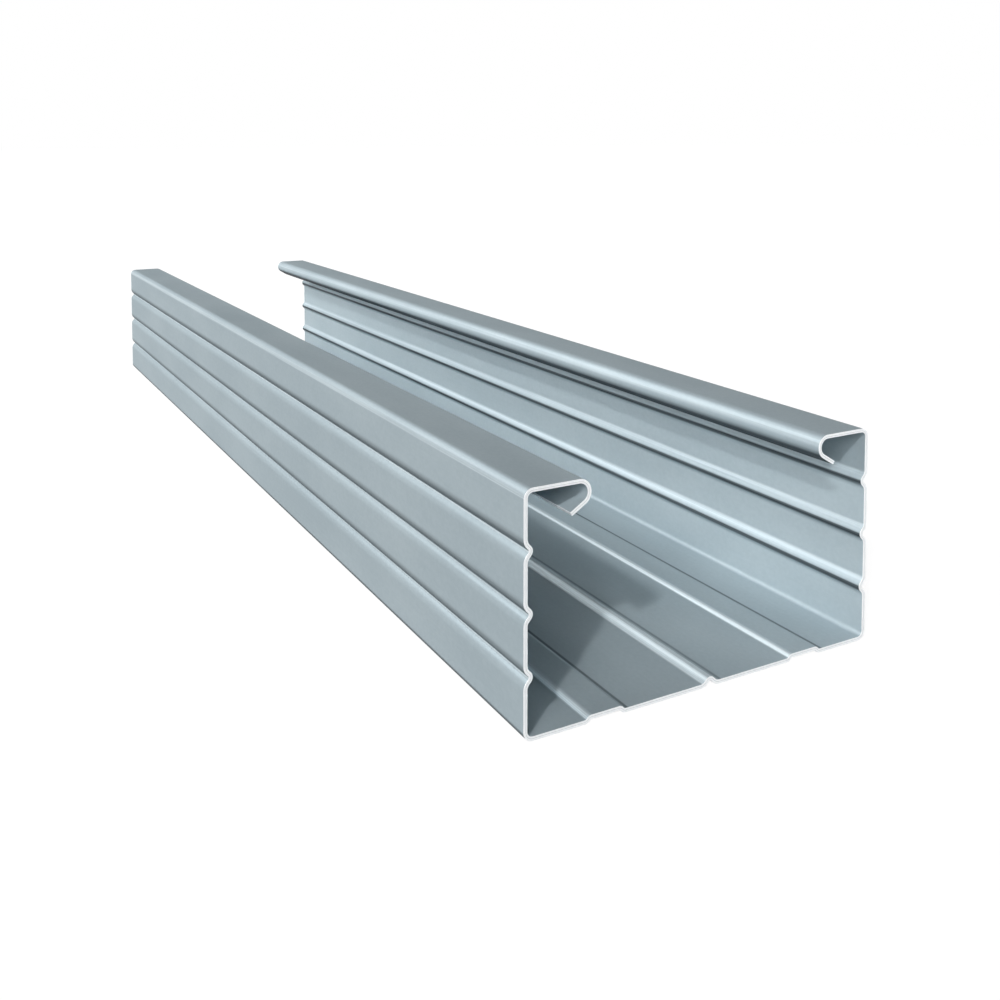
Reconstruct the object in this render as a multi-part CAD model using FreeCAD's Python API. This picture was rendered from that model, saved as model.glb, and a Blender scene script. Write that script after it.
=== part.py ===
import FreeCAD, Part
import math
import os

# Steel stud: one length of galvanised sheet, roll-formed to a C with ribbed faces and hooked lips.
# It lies on its web. X runs across the web, Y along the stud and Z from the web up to the lips.
# The origin is the middle of the web's underside. Sizes are in millimetres and angles in degrees.

# The whole stud
STUD_LENGTH = 396.0
WEB_WIDTH = 92.0        # over the outer faces of both flanges
FLANGE_HEIGHT = 50.0    # from the web's underside to the top of the lips
SHEET = 0.9             # thickness of the coated sheet
CORNER_RADIUS = 2.1     # outer face of the four bends beside the flanges

# The lips, which turn in over the web and curl back down towards their flange
LIP_WIDTH = 15.5        # from the flange's outer face to the nose of the curl
CURL_RADIUS = 2.8       # outer face of the curl
CURL_TURN = 149.0       # how far the curl turns the sheet
RETURN_LENGTH = 3.7     # straight end of the sheet past the curl

# The V grooves that stiffen each flange, pressed in from outside
GROOVE_COUNT = 3
GROOVE_PITCH = 12.45
GROOVE_LIFT = 0.2       # from the flange's middle up to the middle of the grooves
GROOVE_DEPTH = 1.15

# The web's V ridge, which runs along its middle
RIDGE_HEIGHT = 1.25

# The web's two flat-topped beads
BEAD_HEIGHT = 0.78
BEAD_WIDTH = 8.3        # at half its height
BEAD_INSET = 19.1       # from the flange's outer face to the middle of the bead

# Sides and bends of the grooves, the ridge and the beads. The radii are of the sheet's middle line.
FOLD_SLOPE = 45.0       # between a side and the flat sheet
FOLD_RADIUS = 1.0       # the crests, and all bends of the beads
FOOT_RADIUS = 2.0       # where a groove or the ridge leaves the flat sheet

ALONG_WEB = FreeCAD.Vector(1, 0, 0)
UP = FreeCAD.Vector(0, 0, 1)


def v_fold(middle, along, inward, height):
    """Corners of a V pressed into the sheet: a foot, the crest and the other foot."""
    slope = math.radians(FOLD_SLOPE)
    sharp_height = height + FOLD_RADIUS * (1 / math.cos(slope) - 1)
    foot = along * (sharp_height / math.tan(slope))
    crest = (middle + inward * sharp_height, FOLD_RADIUS)
    return [(middle - foot, FOOT_RADIUS), crest, (middle + foot, FOOT_RADIUS)]


def flat_bead(middle, along, inward, height, width):
    """Corners of a flat-topped bead: a foot, the two edges of its top and the other foot."""
    half_side = height / math.tan(math.radians(FOLD_SLOPE)) / 2
    foot = along * (width / 2 + half_side)
    top = along * (width / 2 - half_side)
    rise = inward * height
    return [(middle + place, FOLD_RADIUS) for place in (-foot, rise - top, rise + top, foot)]


def web_corners():
    """Corners of the web from the crest of its middle ridge to the bead on the +X side."""
    level = UP * (SHEET / 2)
    bead_middle = level + ALONG_WEB * (WEB_WIDTH / 2 - BEAD_INSET)
    ridge = v_fold(level, ALONG_WEB, UP, RIDGE_HEIGHT)
    bead = flat_bead(bead_middle, ALONG_WEB, UP, BEAD_HEIGHT, BEAD_WIDTH)
    return ridge[1:] + bead


def flange_corners():
    """Corners of the +X flange from its bend at the web to its bend at the lip."""
    bend_radius = CORNER_RADIUS - SHEET / 2
    plane = ALONG_WEB * ((WEB_WIDTH - SHEET) / 2)
    corners = [(plane + UP * (SHEET / 2), bend_radius)]
    for number in range(GROOVE_COUNT):
        steps_from_centre = number - (GROOVE_COUNT - 1) / 2
        height = FLANGE_HEIGHT / 2 + GROOVE_LIFT + steps_from_centre * GROOVE_PITCH
        corners += v_fold(plane + UP * height, UP, -ALONG_WEB, GROOVE_DEPTH)
    corners.append((plane + UP * (FLANGE_HEIGHT - SHEET / 2), bend_radius))
    return corners


def lip_corners():
    """The corner that the +X lip curls round, and the cut tip of the sheet."""
    bend_radius = CURL_RADIUS - SHEET / 2
    turn = math.radians(CURL_TURN)
    curl_reach = bend_radius * math.tan(turn / 2)
    curl_start = WEB_WIDTH / 2 - LIP_WIDTH + CURL_RADIUS
    curl_corner = ALONG_WEB * (curl_start - curl_reach) + UP * (FLANGE_HEIGHT - SHEET / 2)
    back = -ALONG_WEB * math.cos(turn) - UP * math.sin(turn)
    tip = curl_corner + back * (curl_reach + RETURN_LENGTH)
    return [(curl_corner, bend_radius), (tip, 0)]


def section_corners():
    """Corners of the sheet's middle line from the tip of the -X lip to the tip of the +X lip."""
    right_half = web_corners() + flange_corners() + lip_corners()
    left_half = [(FreeCAD.Vector(-place.x, 0, place.z), radius) for place, radius in right_half[1:]]
    return left_half[::-1] + right_half


def sheet_face(corners, offset):
    """Edges of one face of the sheet, which lies an offset to the left of its middle line."""
    edges = []
    places = [place for place, radius in corners]
    runs = [(end - start).normalize() for start, end in zip(places, places[1:])]
    to_left = [FreeCAD.Vector(-run.z, 0, run.x) for run in runs]
    start = places[0] + to_left[0] * offset
    for index in range(1, len(corners) - 1):
        place, radius = corners[index]
        turn = runs[index - 1].getAngle(runs[index])
        turns_left = runs[index].dot(to_left[index - 1]) > 0
        to_centre = (to_left[index - 1] + to_left[index]).normalize() * (1 if turns_left else -1)
        centre = place + to_centre * (radius / math.cos(turn / 2))
        face_radius = radius - offset if turns_left else radius + offset
        sign = -1 if turns_left else 1
        arc_start = centre + to_left[index - 1] * (sign * face_radius)
        arc_middle = centre - to_centre * face_radius
        arc_end = centre + to_left[index] * (sign * face_radius)
        edges.append(Part.LineSegment(start, arc_start).toShape())
        edges.append(Part.Arc(arc_start, arc_middle, arc_end).toShape())
        start = arc_end
    end = places[-1] + to_left[-1] * offset
    edges.append(Part.LineSegment(start, end).toShape())
    return edges


def stud_section():
    """The cut face of the sheet: its two faces joined by a square cut at each tip."""
    corners = section_corners()
    inner = sheet_face(corners, SHEET / 2)
    outer = sheet_face(corners, -SHEET / 2)
    first_tip = Part.LineSegment(outer[0].firstVertex().Point, inner[0].firstVertex().Point)
    last_tip = Part.LineSegment(inner[-1].lastVertex().Point, outer[-1].lastVertex().Point)
    outline = Part.Wire(inner + [last_tip.toShape()] + outer[::-1] + [first_tip.toShape()])
    return Part.Face(outline)


def make_stud():
    section = stud_section()
    section.translate(FreeCAD.Vector(0, -STUD_LENGTH / 2, 0))
    return section.extrude(FreeCAD.Vector(0, STUD_LENGTH, 0))


os.makedirs("parts", exist_ok=True)
make_stud().exportStep("parts/stud.step")
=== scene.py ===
import math

import bpy
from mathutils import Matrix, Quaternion, Vector


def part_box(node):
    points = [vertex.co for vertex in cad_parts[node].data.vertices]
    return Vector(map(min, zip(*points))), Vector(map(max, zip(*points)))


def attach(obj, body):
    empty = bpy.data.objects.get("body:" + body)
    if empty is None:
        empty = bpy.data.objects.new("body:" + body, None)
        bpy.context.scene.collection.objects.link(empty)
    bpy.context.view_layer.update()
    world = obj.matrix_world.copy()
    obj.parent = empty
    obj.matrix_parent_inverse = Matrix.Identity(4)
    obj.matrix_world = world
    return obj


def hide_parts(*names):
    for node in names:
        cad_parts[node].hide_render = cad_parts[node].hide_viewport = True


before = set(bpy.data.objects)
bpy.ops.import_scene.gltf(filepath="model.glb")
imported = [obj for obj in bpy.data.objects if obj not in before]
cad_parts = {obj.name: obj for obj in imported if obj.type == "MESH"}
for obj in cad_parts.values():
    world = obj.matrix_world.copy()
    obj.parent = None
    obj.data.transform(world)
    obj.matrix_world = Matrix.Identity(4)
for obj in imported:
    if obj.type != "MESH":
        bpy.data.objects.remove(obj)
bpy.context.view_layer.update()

# Lengths are in metres and angles in degrees. X runs across the web, Y along the stud and Z up.
MM = 0.001

# The rolled section, with the sizes of the part's source. Its width, height and length are the frame's.
SHEET = 0.9 * MM
CORNER_RADIUS = 2.1 * MM
LIP_WIDTH = 15.5 * MM
CURL_RADIUS = 2.8 * MM
CURL_TURN = 149.0
RETURN_LENGTH = 3.7 * MM
GROOVE_COUNT = 3
GROOVE_PITCH = 12.45 * MM
GROOVE_LIFT = 0.2 * MM
GROOVE_DEPTH = 1.15 * MM
RIDGE_HEIGHT = 1.25 * MM
BEAD_HEIGHT = 0.78 * MM
BEAD_WIDTH = 8.3 * MM
BEAD_INSET = 19.1 * MM
FOLD_SLOPE = 45.0
FOLD_RADIUS = 1.0 * MM
FOOT_RADIUS = 2.0 * MM

# How finely the bends are drawn, and how far the shears round off the cut edges
BEND_STEP = 7.5
EDGE_ROUNDING = 0.08 * MM
EDGE_STEPS = 3
LENGTH_STEPS = 16
FLAT_MARGIN = 1.2 * MM          # the strip of a flat beside a bend that is drawn as finely
FLAT_STEPS = 6

# The painted highlight and the painted shade along each kind of fold, in this order. Each has its start,
# where it is full from and to, its end and its strength. Places are millimetres past the fold's middle
# towards its sheltered side, which faces down on a flange and to +X on the web.
RIDGE_PAINTED_LIGHT = ((-2.3, -1.8, -0.3, 0.9, 0.8), (2.3, 2.65, 2.95, 3.35, 0.5))
BEAD_PAINTED_LIGHT = ((-4.45, -4.1, -3.6, -3.0, 0.8), (4.8, 5.05, 5.5, 5.8, 0.65))
GROOVE_PAINTED_LIGHT_INSIDE = ((-2.6, -1.8, -1.1, -0.5, 0.34), (-0.32, 0.0, 0.35, 0.95, 1.0))
GROOVE_PAINTED_LIGHT_OUTSIDE = ((-0.6, -0.3, 0.0, 0.25, 0.6), (0.05, 0.45, 1.3, 3.2, 0.65))
PAINTED_LIGHT_REACH = GROOVE_PITCH / 2  # how far from a fold's middle the sheet can have its painted highlight and shade

# The same painted highlight and painted shade round the outside of the corners and curls, placed by how
# far the face is turned from up
CORNER_PAINTED_LIGHT = ((40, 65, 82, 90, 0.42), (92, 105, 160, 178, 0.8))
CURL_PAINTED_LIGHT = ((38, 62, 68, 92, 0.36), (95, 140, 150, 180, 1.0))

# Colours in linear light
ZINC_DEEP = (0.383, 0.457, 0.494, 1)
ZINC_PALE = (0.425, 0.50, 0.535, 1)
# Painted highlight for the folds' lit sides
HIGHLIGHT_PAINT_COLOUR = (0.80, 0.89, 0.93, 1)
# Painted shade for the folds' sheltered sides
SHADE_PAINT_COLOUR = (0.035, 0.045, 0.052, 1)
STEEL_DEEP = (0.86, 0.89, 0.91, 1)
STEEL_PALE = (0.93, 0.95, 0.96, 1)
STEEL_TORN = (0.45, 0.49, 0.51, 1)
WHITE = (1, 1, 1, 1)

# Tones from the deep colour at 0 to the pale one at 1, and how much of the painted highlight and shade
# its streaks leave
CLOUD_TONES = (-0.5, 0.5)
GRAIN_TONES = (0.2, 0.8)
HIGHLIGHT_PAINT_STREAKS = (0.2, 1.0)
SHADE_PAINT_STREAKS = (1.0, 0.8)

# How rough the surfaces are, from and to, and how far they shine like bare metal
ZINC_ROUGHNESS = (0.42, 0.50)
ZINC_METALLIC = 0.3
STEEL_ROUGHNESS = (0.35, 0.5)
STEEL_METALLIC = 0.2

# The grain of the surfaces, as repeats a metre along X, Y and Z
CLOUDS = (60, 25, 60)
GRAIN = (1100, 800, 1100)
ROLLING_LINES = (1500, 12, 1500)
SCRATCHES = (1500, 6, 1500)
TEARS = (2500, 2500, 600)
RELIEF = 0.05 * MM              # height of the rolling lines and the grain at full strength
LINES_STRENGTH = 0.5
GRAIN_STRENGTH = 0.15

# The tear line of a sheared edge, across the sheet from -1 on its outer face to 1 on its inner one
TEAR_PLACE = 0.15
TEAR_FULL = 0.08                # how far from its place it is full
TEAR_END = 0.22                 # and how far it reaches
TEAR_STRENGTH = 0.65

# The camera stands where the photograph was taken from
CAMERA_PLACE = Vector((-149.1, -375.3, 116.8)) * MM
CAMERA_HEADING = 28.91          # to the right of +Y
CAMERA_DIP = 3.25               # below the horizon
CAMERA_LENS = 39.42             # on Blender's 36 mm sensor
CAMERA_SHIFT = -0.30            # keeps the verticals upright, as the photograph does
CAMERA_NEAREST = 10 * MM        # nothing nearer is drawn

# Lights stand at a heading, to the right of +Y, and a rise above the horizon.
# Each sun has its heading, rise, softness and strength.
KEY = (-130.2, 36.5, 2.5, 1.4)
LEFT_FILL = (-130.0, 22.0, 35.0, 1.91)
RIGHT_FILL = (128.0, 5.0, 30.0, 1.6)

# A long soft panel leans to the right behind the stud, on the left, and shines back off the bends
PANEL_HEADING = -30.0
PANEL_RISE = 36.0
PANEL_DISTANCE = 2.0
PANEL_SIZE = (1.35, 0.5)
PANEL_LEAN = -49.0
PANEL_RADIANCE = 6.7

# Narrow beams, two from the left and one from the right, pass over a lip and lighten the inside of the
# flange beyond. Each has the side of its lamp along X, its rise, the lamp's height and its watts.
STEEP_BEAM = (-1, 34.0, 20 * MM, 0.015)
LOW_BEAM = (-1, 18.0, 14 * MM, 0.012)
RIGHT_BEAM = (1, 31.0, 24 * MM, 0.032)
BEAM_LENGTH = 600 * MM
BEAM_DISTANCE = 300 * MM
BEAM_SPREAD = 3.0
BEAM_GAP = 2.5 * MM             # between the lip's nose and the beam's lower edge

# The studio is white up to a low height and dimmer overhead. The heights are sines of the rise.
WHITE_TO = 0.12
DIM_FROM = 0.19
CEILING = 0.05
WORLD_FILL = 0.05               # the share of it that lights what isn't a reflection

# The floor's glow is what its own light leaves to add to white
FLOOR_REACH = 12.0
FLOOR_TONE = 0.45
FLOOR_BOUNCE = 0.06             # its tone for the light that it sends back to the stud
FLOOR_GLOW = 1.26
FLOOR_KEEP = 0.25               # the share of its own light, with the shadow, that stays in view

low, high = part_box("stud")
WEB_WIDTH = high.x - low.x
FLANGE_HEIGHT = high.z - low.z
STUD_LENGTH = high.y - low.y

ALONG_WEB = Vector((1, 0, 0))
ALONG_STUD = Vector((0, 1, 0))
UP = Vector((0, 0, 1))


# The middle line of the sheet

def v_fold(middle, along, inward, height):
    """Corners of a V pressed into the sheet: a foot, the crest and the other foot."""
    slope = math.radians(FOLD_SLOPE)
    sharp_height = height + FOLD_RADIUS * (1 / math.cos(slope) - 1)
    foot = along * (sharp_height / math.tan(slope))
    crest = (middle + inward * sharp_height, FOLD_RADIUS)
    return [(middle - foot, FOOT_RADIUS), crest, (middle + foot, FOOT_RADIUS)]


def flat_bead(middle, along, inward, height, width):
    """Corners of a flat-topped bead: a foot, the two edges of its top and the other foot."""
    half_side = height / math.tan(math.radians(FOLD_SLOPE)) / 2
    foot = along * (width / 2 + half_side)
    top = along * (width / 2 - half_side)
    rise = inward * height
    return [(middle + place, FOLD_RADIUS) for place in (-foot, rise - top, rise + top, foot)]


def web_corners():
    """Corners of the web from the crest of its middle ridge to the bead on the +X side."""
    level = UP * (SHEET / 2)
    bead_middle = level + ALONG_WEB * (WEB_WIDTH / 2 - BEAD_INSET)
    ridge = v_fold(level, ALONG_WEB, UP, RIDGE_HEIGHT)
    return ridge[1:] + flat_bead(bead_middle, ALONG_WEB, UP, BEAD_HEIGHT, BEAD_WIDTH)


def groove_heights():
    """Heights of the middles of a flange's grooves, from the lowest up."""
    steps_from_centre = [number - (GROOVE_COUNT - 1) / 2 for number in range(GROOVE_COUNT)]
    return [FLANGE_HEIGHT / 2 + GROOVE_LIFT + step * GROOVE_PITCH for step in steps_from_centre]


def flange_corners():
    """Corners of the +X flange from its bend at the web to its bend at the lip."""
    bend_radius = CORNER_RADIUS - SHEET / 2
    plane = ALONG_WEB * ((WEB_WIDTH - SHEET) / 2)
    corners = [(plane + UP * (SHEET / 2), bend_radius)]
    for height in groove_heights():
        corners += v_fold(plane + UP * height, UP, -ALONG_WEB, GROOVE_DEPTH)
    corners.append((plane + UP * (FLANGE_HEIGHT - SHEET / 2), bend_radius))
    return corners


def lip_corners():
    """The corner that the +X lip curls round, and the cut tip of the sheet."""
    bend_radius = CURL_RADIUS - SHEET / 2
    turn = math.radians(CURL_TURN)
    curl_reach = bend_radius * math.tan(turn / 2)
    curl_start = WEB_WIDTH / 2 - LIP_WIDTH + CURL_RADIUS
    curl_corner = ALONG_WEB * (curl_start - curl_reach) + UP * (FLANGE_HEIGHT - SHEET / 2)
    back = -ALONG_WEB * math.cos(turn) - UP * math.sin(turn)
    return [(curl_corner, bend_radius), (curl_corner + back * (curl_reach + RETURN_LENGTH), 0)]


def section_corners():
    """Corners of the sheet's middle line from the tip of the -X lip to the tip of the +X lip."""
    right_half = web_corners() + flange_corners() + lip_corners()
    left_half = [(Vector((-place.x, 0, place.z)), radius) for place, radius in right_half[1:]]
    return left_half[::-1] + right_half


# Stations: places on the middle line with all that the two faces of the sheet need there

class Station:
    """A place with the ways to the sheet's inner face and to the nearest tip, and the tip's rounding."""

    def __init__(self, place, inward, to_tip=Vector((0, 0, 0)), rounding=0.0):
        self.place = place
        self.inward = inward
        self.to_tip = to_tip
        self.rounding = rounding


def left_of(run):
    """The way a quarter turn to the left of a run of the middle line."""
    return Vector((-run.z, 0, run.x))


def rounding_steps():
    """Angles of the rounded edge, from where it leaves the sheet's face to the middle of the cut."""
    return [math.pi / 2 * step / EDGE_STEPS for step in range(EDGE_STEPS + 1)]


def tip_stations(tip, to_tip, inward):
    """Stations of a rounded tip, from the plain sheet outwards."""
    stations = []
    for angle in rounding_steps():
        place = tip - to_tip * (EDGE_ROUNDING * (1 - math.sin(angle)))
        stations.append(Station(place, inward, to_tip, angle))
    return stations


def bend_stations(corner, radius, run_in, run_out):
    """Stations round one bend of the middle line."""
    turn = run_in.angle(run_out)
    side = 1 if run_out.dot(left_of(run_in)) > 0 else -1
    to_centre = (left_of(run_in) + left_of(run_out)).normalized() * side
    centre = corner + to_centre * (radius / math.cos(turn / 2))
    steps = max(2, math.ceil(math.degrees(turn) / BEND_STEP))
    stations = []
    for step in range(steps + 1):
        angle = side * turn * step / steps
        inward = left_of(run_in * math.cos(angle) + left_of(run_in) * math.sin(angle))
        stations.append(Station(centre - inward * (side * radius), inward))
    return stations


def flat_stations(start, end):
    """Stations on the flat between two others, close together in the strips beside its bends.

    A flat shorter than three strips gets none.
    """
    flat = end.place - start.place
    if flat.length < 3 * FLAT_MARGIN:
        return []
    way = flat.normalized()
    distances = [FLAT_MARGIN * step / FLAT_STEPS for step in range(1, FLAT_STEPS + 1)]
    after = [Station(start.place + way * distance, start.inward) for distance in distances]
    before = [Station(end.place - way * distance, start.inward) for distance in reversed(distances)]
    return after + before


def section_stations():
    """Stations of the whole middle line from the tip of the -X lip to the tip of the +X lip."""
    corners = section_corners()
    places = [place for place, radius in corners]
    runs = [(end - start).normalized() for start, end in zip(places, places[1:])]
    pieces = [tip_stations(places[0], -runs[0], left_of(runs[0]))[::-1]]
    for index in range(1, len(corners) - 1):
        pieces.append(bend_stations(*corners[index], runs[index - 1], runs[index]))
    pieces.append(tip_stations(places[-1], runs[-1], left_of(runs[-1])))
    stations = pieces[0]
    for piece in pieces[1:]:
        stations = stations + flat_stations(stations[-1], piece[0]) + piece
    return stations


def length_stations():
    """Places along the stud: (y, the way to the nearest cut end, that end's rounding)."""
    half = STUD_LENGTH / 2
    end = [(half - EDGE_ROUNDING * (1 - math.sin(angle)), 1, angle) for angle in rounding_steps()]
    start = [(-y, -1, angle) for y, way, angle in reversed(end)]
    inner = end[0][0]
    middle = [(inner * (2 * step / LENGTH_STEPS - 1), 0, 0.0) for step in range(1, LENGTH_STEPS)]
    return start + middle + end


# Painted highlights and painted shade along the folds and bends

def ease(value):
    """A smooth rise from 0 to 1 while the value goes from 0 to 1."""
    value = min(1.0, max(0.0, value))
    return value * value * (3 - 2 * value)


def band(distance, start, full_from, full_to, end, strength):
    """A painted band's strength at a distance: it grows from its start, stays full and fades to its end.
    """
    rise = ease((distance - start) / (full_from - start))
    fall = ease((end - distance) / (end - full_to))
    return strength * min(rise, fall)


def stud_folds():
    """Each fold's middle, the way to its sheltered side and its painted highlight and shade outside and
    inside.
    """
    folds = [(UP * (SHEET / 2), ALONG_WEB, RIDGE_PAINTED_LIGHT, RIDGE_PAINTED_LIGHT)]
    for side in (-1, 1):
        bead = ALONG_WEB * (side * (WEB_WIDTH / 2 - BEAD_INSET)) + UP * (SHEET / 2)
        folds.append((bead, ALONG_WEB, BEAD_PAINTED_LIGHT, BEAD_PAINTED_LIGHT))
        for height in groove_heights():
            groove = ALONG_WEB * (side * (WEB_WIDTH - SHEET) / 2) + UP * height
            folds.append((groove, -UP, GROOVE_PAINTED_LIGHT_OUTSIDE, GROOVE_PAINTED_LIGHT_INSIDE))
    return folds


def sheet_painted_light(folds, station, face):
    """Strengths of the painted highlight and the painted shade on one face of the sheet at a station.

    A fold's sheltered side lies the other way from its middle on the outside, where the fold is hollow.
    """
    for middle, to_shelter, painted_outside, painted_inside in folds:
        offset = station.place - middle
        if offset.length < PAINTED_LIGHT_REACH:
            painted_bands = painted_inside if face > 0 else painted_outside
            return [band(face * offset.dot(to_shelter) / MM, *painted_band) for painted_band in painted_bands]
    if face > 0:
        return [0.0, 0.0]
    between_corners = abs(station.place.x) < WEB_WIDTH / 2 - CORNER_RADIUS
    on_curl = between_corners and station.place.z > FLANGE_HEIGHT / 2
    # Round the corners and curls the painted highlight and shade follow how far the face is turned from
    # up
    turned = math.degrees(UP.angle(station.inward * face))
    return [band(turned, *painted_band) for painted_band in (CURL_PAINTED_LIGHT if on_curl else CORNER_PAINTED_LIGHT)]


# The stud's mesh

def sheet_vertex(station, row, face):
    """Place and normal of a vertex. The face is 1 on the inside of the stud and -1 on the outside."""
    y, way, end_rounding = row
    worn = EDGE_ROUNDING * (2 - math.cos(station.rounding) - math.cos(end_rounding))
    place = station.place + station.inward * (face * (SHEET / 2 - worn))
    outward = station.inward * (face * math.cos(station.rounding))
    across = outward + station.to_tip * math.sin(station.rounding)
    normal = across * math.cos(end_rounding) + ALONG_STUD * (way * math.sin(end_rounding))
    return Vector((place.x, y, place.z)), normal.normalized()


def sheet_vertices(columns, rows):
    """Places and normals of all vertices: the sheet's outer face row by row, and then its inner one."""
    vertices = []
    for face in (-1, 1):
        for row in rows:
            vertices += [sheet_vertex(station, row, face) for station in columns]
    return [place for place, normal in vertices], [normal for place, normal in vertices]


def sheet_quads(row_count, column_count):
    """The quads of both faces, the cut ends and the slit tips, each with whether the shears made it."""
    last_row = row_count - 1
    last_column = column_count - 1

    def at(face, row, column):
        return (face * row_count + row) * column_count + column

    quads = []
    for row in range(last_row):
        for column in range(last_column):
            at_end = not EDGE_STEPS <= row < last_row - EDGE_STEPS
            at_tip = not EDGE_STEPS <= column < last_column - EDGE_STEPS
            corners = [(row, column), (row, column + 1), (row + 1, column + 1), (row + 1, column)]
            quads.append(([at(0, *corner) for corner in reversed(corners)], at_end or at_tip))
            quads.append(([at(1, *corner) for corner in corners], at_end or at_tip))
    for column in range(last_column):
        after = column + 1
        near_end = [at(0, 0, column), at(0, 0, after), at(1, 0, after), at(1, 0, column)]
        far_end = [
            at(1, last_row, column), at(1, last_row, after),
            at(0, last_row, after), at(0, last_row, column),
        ]
        quads += [(near_end, True), (far_end, True)]
    for row in range(last_row):
        after = row + 1
        first_tip = [at(1, row, 0), at(1, after, 0), at(0, after, 0), at(0, row, 0)]
        last_tip = [
            at(0, row, last_column), at(0, after, last_column),
            at(1, after, last_column), at(1, row, last_column),
        ]
        quads += [(first_tip, True), (last_tip, True)]
    return quads


def store_across_and_painted_light(mesh, columns, row_count):
    """Stores at each vertex its place across the sheet and the strengths of the painted highlight and
    the painted shade.
    """
    folds = stud_folds()
    stored = {"across": [], "painted_highlight": [], "painted_shade": []}
    for face in (-1, 1):
        painted_bands = [sheet_painted_light(folds, station, face) for station in columns]
        stored["across"] += [face] * len(columns) * row_count
        stored["painted_highlight"] += [bright for bright, dark in painted_bands] * row_count
        stored["painted_shade"] += [dark for bright, dark in painted_bands] * row_count
    for name, values in stored.items():
        mesh.attributes.new(name, "FLOAT", "POINT").data.foreach_set("value", values)


def make_stud_mesh():
    """The sheet's two faces as grids of quads, closed by its cut ends and its two slit tips."""
    columns = section_stations()
    rows = length_stations()
    places, normals = sheet_vertices(columns, rows)
    quads = sheet_quads(len(rows), len(columns))
    mesh = bpy.data.meshes.new("galvanised_stud")
    mesh.from_pydata(places, [], [corners for corners, cut in quads])
    mesh.polygons.foreach_set("material_index", [int(cut) for corners, cut in quads])
    store_across_and_painted_light(mesh, columns, len(rows))
    mesh.shade_smooth()
    mesh.normals_split_custom_set_from_vertices(normals)
    return mesh


# Materials

def new_material(name):
    """A new material with its node tree and the shader in it."""
    material = bpy.data.materials.new(name)
    material.use_nodes = True
    tree = material.node_tree
    return material, tree, tree.nodes["Principled BSDF"]


def add(tree, kind, inputs=None, **settings):
    """A new node with its settings and inputs. An input is a value or another node's output."""
    made = tree.nodes.new(kind)
    for name, value in settings.items():
        setattr(made, name, value)
    for name, value in (inputs or {}).items():
        if isinstance(value, bpy.types.NodeSocket):
            tree.links.new(value, made.inputs[name])
        else:
            made.inputs[name].default_value = value
    return made


def stretched_noise(tree, repeats, detail, roughness=0.5):
    """Noise over the object's own metres, with so many repeats a metre along X, Y and Z."""
    coordinates = add(tree, "ShaderNodeTexCoord")
    mapping = add(tree, "ShaderNodeMapping", {
        "Vector": coordinates.outputs["Object"],
        "Scale": repeats,
    })
    return add(tree, "ShaderNodeTexNoise", {
        "Vector": mapping.outputs["Vector"],
        "Scale": 1.0,
        "Detail": detail,
        "Roughness": roughness,
    }).outputs["Fac"]


def spread(tree, value, low_end, high_end, reach=0.2):
    """A noise's useful middle, so far to each side of 0.5, spread over a range."""
    return add(tree, "ShaderNodeMapRange", {
        "Value": value,
        "From Min": 0.5 - reach,
        "From Max": 0.5 + reach,
        "To Min": low_end,
        "To Max": high_end,
    }).outputs["Result"]


def painted_band(tree, name, streaks):
    """A painted highlight or painted shade, broken into fine streaks along the stud."""
    strength = add(tree, "ShaderNodeAttribute", attribute_name=name).outputs["Fac"]
    return add(tree, "ShaderNodeMath", {0: strength, 1: streaks}, operation="MULTIPLY").outputs["Value"]


def zinc_colour(tree, grain):
    """Cool grey zinc, faintly clouded, with a painted highlight and a painted shade along the folds."""
    clouds = stretched_noise(tree, CLOUDS, detail=4)
    scratches = stretched_noise(tree, SCRATCHES, detail=5, roughness=0.7)
    tone = add(tree, "ShaderNodeMath", {
        0: spread(tree, clouds, *CLOUD_TONES),
        1: spread(tree, grain, *GRAIN_TONES),
    }, operation="ADD").outputs["Value"]
    plain = add(tree, "ShaderNodeMix", {
        "Factor": tone,
        "A": ZINC_DEEP,
        "B": ZINC_PALE,
    }, data_type="RGBA")
    # Painted highlight, streaked, on the folds' lit sides
    highlighted = add(tree, "ShaderNodeMix", {
        "Factor": painted_band(tree, "painted_highlight", spread(tree, scratches, *HIGHLIGHT_PAINT_STREAKS, reach=0.1)),
        "A": plain.outputs["Result"],
        "B": HIGHLIGHT_PAINT_COLOUR,
    }, data_type="RGBA")
    # Painted shade, streaked, on the folds' sheltered sides
    return add(tree, "ShaderNodeMix", {
        "Factor": painted_band(tree, "painted_shade", spread(tree, scratches, *SHADE_PAINT_STREAKS, reach=0.1)),
        "A": highlighted.outputs["Result"],
        "B": SHADE_PAINT_COLOUR,
    }, data_type="RGBA").outputs["Result"]


def galvanised():
    """Smooth hot-dip zinc with fine grain and rolling lines along the stud."""
    material, tree, shader = new_material("galvanised_zinc")
    grain = stretched_noise(tree, GRAIN, detail=3)
    rolling = stretched_noise(tree, ROLLING_LINES, detail=2)
    lines = add(tree, "ShaderNodeBump", {
        "Height": rolling,
        "Strength": LINES_STRENGTH,
        "Distance": RELIEF,
    })
    bump = add(tree, "ShaderNodeBump", {
        "Height": grain,
        "Strength": GRAIN_STRENGTH,
        "Distance": RELIEF,
        "Normal": lines.outputs["Normal"],
    })
    tree.links.new(zinc_colour(tree, grain), shader.inputs["Base Color"])
    tree.links.new(spread(tree, rolling, *ZINC_ROUGHNESS), shader.inputs["Roughness"])
    tree.links.new(bump.outputs["Normal"], shader.inputs["Normal"])
    shader.inputs["Metallic"].default_value = ZINC_METALLIC
    shader.inputs["Specular IOR Level"].default_value = 0.0
    return material


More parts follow.
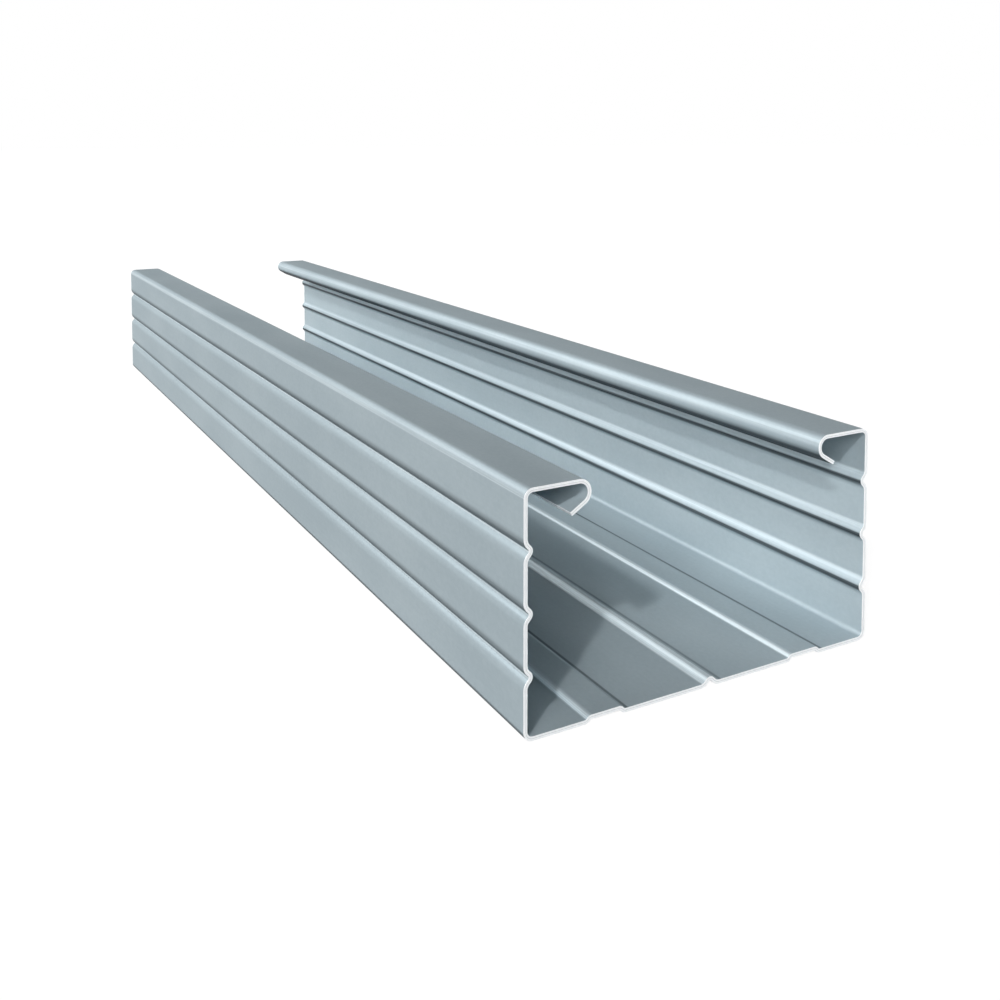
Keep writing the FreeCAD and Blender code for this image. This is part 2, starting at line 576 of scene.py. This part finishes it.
def tear_line(tree):
    """Strength of the dull line along which the shears tore the sheet apart."""
    across = add(tree, "ShaderNodeAttribute", attribute_name="across").outputs["Fac"]
    offset = add(tree, "ShaderNodeMath", {0: across, 1: TEAR_PLACE}, operation="SUBTRACT")
    distance = add(tree, "ShaderNodeMath", {0: offset.outputs["Value"]}, operation="ABSOLUTE")
    return add(tree, "ShaderNodeMapRange", {
        "Value": distance.outputs["Value"],
        "From Min": TEAR_FULL,
        "From Max": TEAR_END,
        "To Min": TEAR_STRENGTH,
        "To Max": 0.0,
    }).outputs["Result"]


def cut_steel():
    """The bare steel of a sheared edge: pale, with fine tears across the sheet's thickness."""
    material, tree, shader = new_material("cut_edge")
    tears = stretched_noise(tree, TEARS, detail=3)
    plain = add(tree, "ShaderNodeMix", {
        "Factor": spread(tree, tears, 0, 1),
        "A": STEEL_DEEP,
        "B": STEEL_PALE,
    }, data_type="RGBA")
    torn = add(tree, "ShaderNodeMix", {
        "Factor": tear_line(tree),
        "A": plain.outputs["Result"],
        "B": STEEL_TORN,
    }, data_type="RGBA")
    tree.links.new(torn.outputs["Result"], shader.inputs["Base Color"])
    tree.links.new(spread(tree, tears, *STEEL_ROUGHNESS), shader.inputs["Roughness"])
    shader.inputs["Metallic"].default_value = STEEL_METALLIC
    return material


# The stage: white where the camera and reflections see it, a plain level light elsewhere

def seen_directly(tree):
    """1 for rays of the camera, of reflections and of clear materials, and 0 for light on things."""
    path = add(tree, "ShaderNodeLightPath")
    either = add(tree, "ShaderNodeMath", {
        0: path.outputs["Is Camera Ray"],
        1: path.outputs["Is Glossy Ray"],
    }, operation="MAXIMUM")
    return add(tree, "ShaderNodeMath", {
        0: either.outputs["Value"],
        1: path.outputs["Is Transmission Ray"],
    }, operation="MAXIMUM").outputs["Value"]


def light_world():
    """A studio that is white down low and dim overhead, and that sheds little light of its own."""
    world = bpy.data.worlds.new("studio")
    world.use_nodes = True
    tree = world.node_tree
    direction = add(tree, "ShaderNodeTexCoord")
    parts = add(tree, "ShaderNodeSeparateXYZ", {"Vector": direction.outputs["Generated"]})
    brightness = add(tree, "ShaderNodeMapRange", {
        "Value": parts.outputs["Z"],
        "From Min": WHITE_TO,
        "From Max": DIM_FROM,
        "To Min": 1.0,
        "To Max": CEILING,
    }, interpolation_type="SMOOTHSTEP")
    share = add(tree, "ShaderNodeMapRange", {"Value": seen_directly(tree), "To Min": WORLD_FILL})
    strength = add(tree, "ShaderNodeMath", {
        0: brightness.outputs["Result"],
        1: share.outputs["Result"],
    }, operation="MULTIPLY")
    background = tree.nodes["Background"]
    background.inputs["Color"].default_value = WHITE
    tree.links.new(strength.outputs["Value"], background.inputs["Strength"])
    bpy.context.scene.world = world


def make_floor():
    """A pale floor that keeps a light shadow of the stud."""
    mesh = bpy.data.meshes.new("floor")
    corners = [(x * FLOOR_REACH, y * FLOOR_REACH, 0) for x, y in ((-1, -1), (1, -1), (1, 1), (-1, 1))]
    mesh.from_pydata(corners, [], [(0, 1, 2, 3)])
    floor = bpy.data.objects.new("floor", mesh)
    bpy.context.scene.collection.objects.link(floor)
    material, tree, shader = new_material("pale_floor")
    path = add(tree, "ShaderNodeLightPath")
    tone = add(tree, "ShaderNodeMapRange", {
        "Value": path.outputs["Is Diffuse Ray"],
        "To Min": FLOOR_TONE,
        "To Max": FLOOR_BOUNCE,
    })
    tree.links.new(tone.outputs["Result"], shader.inputs["Base Color"])
    shader.inputs["Roughness"].default_value = 1.0
    shader.inputs["Specular IOR Level"].default_value = 0.0
    glow = add(tree, "ShaderNodeEmission", {"Color": WHITE, "Strength": FLOOR_GLOW})
    share = add(tree, "ShaderNodeMath", {
        0: seen_directly(tree),
        1: 1 - FLOOR_KEEP,
    }, operation="MULTIPLY")
    mix = add(tree, "ShaderNodeMixShader", {
        0: share.outputs["Value"],
        1: shader.outputs["BSDF"],
        2: glow.outputs["Emission"],
    })
    tree.links.new(mix.outputs["Shader"], tree.nodes["Material Output"].inputs["Surface"])
    mesh.materials.append(material)


def way_to(heading, rise):
    """The way that has a heading and a rise, as a vector of length 1."""
    heading = math.radians(heading)
    rise = math.radians(rise)
    level = math.cos(rise)
    return Vector((math.sin(heading) * level, math.cos(heading) * level, math.sin(rise)))


def add_light(name, lamp, way, distance=0.0, aim=Vector((0, 0, 0)), lean=0.0):
    """A lamp that stands some way off from the point it aims at, turned about that line by its lean."""
    light = bpy.data.objects.new(name, lamp)
    light.location = aim + way * distance
    lean_turn = Quaternion(way, math.radians(lean))
    light.rotation_euler = (lean_turn @ way.to_track_quat("Z", "Y")).to_euler()
    bpy.context.scene.collection.objects.link(light)


def add_sun(name, heading, rise, softness, strength):
    """A sun, whose softness is the angle that its disc takes up in the sky."""
    lamp = bpy.data.lights.new(name, "SUN")
    lamp.energy = strength
    lamp.angle = math.radians(softness)
    add_light(name, lamp, way_to(heading, rise))


def add_panel():
    """The panel behind the stud. Blender spreads an area lamp's watts over four times its area."""
    lamp = bpy.data.lights.new("back_panel", "AREA")
    lamp.shape = "RECTANGLE"
    lamp.size, lamp.size_y = PANEL_SIZE
    lamp.energy = PANEL_RADIANCE * 4 * lamp.size * lamp.size_y
    add_light("back_panel", lamp, way_to(PANEL_HEADING, PANEL_RISE), PANEL_DISTANCE, lean=PANEL_LEAN)


def add_beam(name, side, rise, height, watts):
    """A long low lamp beside the stud whose beam just clears the nose of the lip on its own side."""
    lamp = bpy.data.lights.new(name, "AREA")
    lamp.shape = "RECTANGLE"
    lamp.size, lamp.size_y = BEAM_LENGTH, height
    lamp.spread = math.radians(BEAM_SPREAD)
    lamp.energy = watts
    nose = Vector((side * (WEB_WIDTH / 2 - LIP_WIDTH), 0, FLANGE_HEIGHT))
    above = way_to(-90 * side, 90 - rise)
    aim = nose + above * (BEAM_GAP + height / 2)
    add_light(name, lamp, way_to(90 * side, rise), BEAM_DISTANCE, aim)


def place_camera():
    """The camera of the photograph. It turns and dips but doesn't roll."""
    lens = bpy.data.cameras.new("camera")
    lens.lens = CAMERA_LENS
    lens.shift_y = CAMERA_SHIFT
    lens.clip_start = CAMERA_NEAREST
    camera = bpy.data.objects.new("camera", lens)
    camera.location = CAMERA_PLACE
    camera.rotation_euler = (math.radians(90 - CAMERA_DIP), 0, math.radians(-CAMERA_HEADING))
    bpy.context.scene.collection.objects.link(camera)
    bpy.context.scene.camera = camera


def dress_stud():
    """Stands the fine mesh in for the plain solid."""
    mesh = make_stud_mesh()
    mesh.materials.append(galvanised())
    mesh.materials.append(cut_steel())
    stud = bpy.data.objects.new("galvanised_stud", mesh)
    bpy.context.scene.collection.objects.link(stud)
    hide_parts("stud")
    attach(stud, "root")


place_camera()
light_world()
add_sun("key", *KEY)
add_sun("left_fill", *LEFT_FILL)
add_sun("right_fill", *RIGHT_FILL)
add_beam("steep_beam", *STEEP_BEAM)
add_beam("low_beam", *LOW_BEAM)
add_beam("right_beam", *RIGHT_BEAM)
add_panel()
make_floor()
dress_stud()

bpy.context.scene.view_settings.view_transform = "Standard"
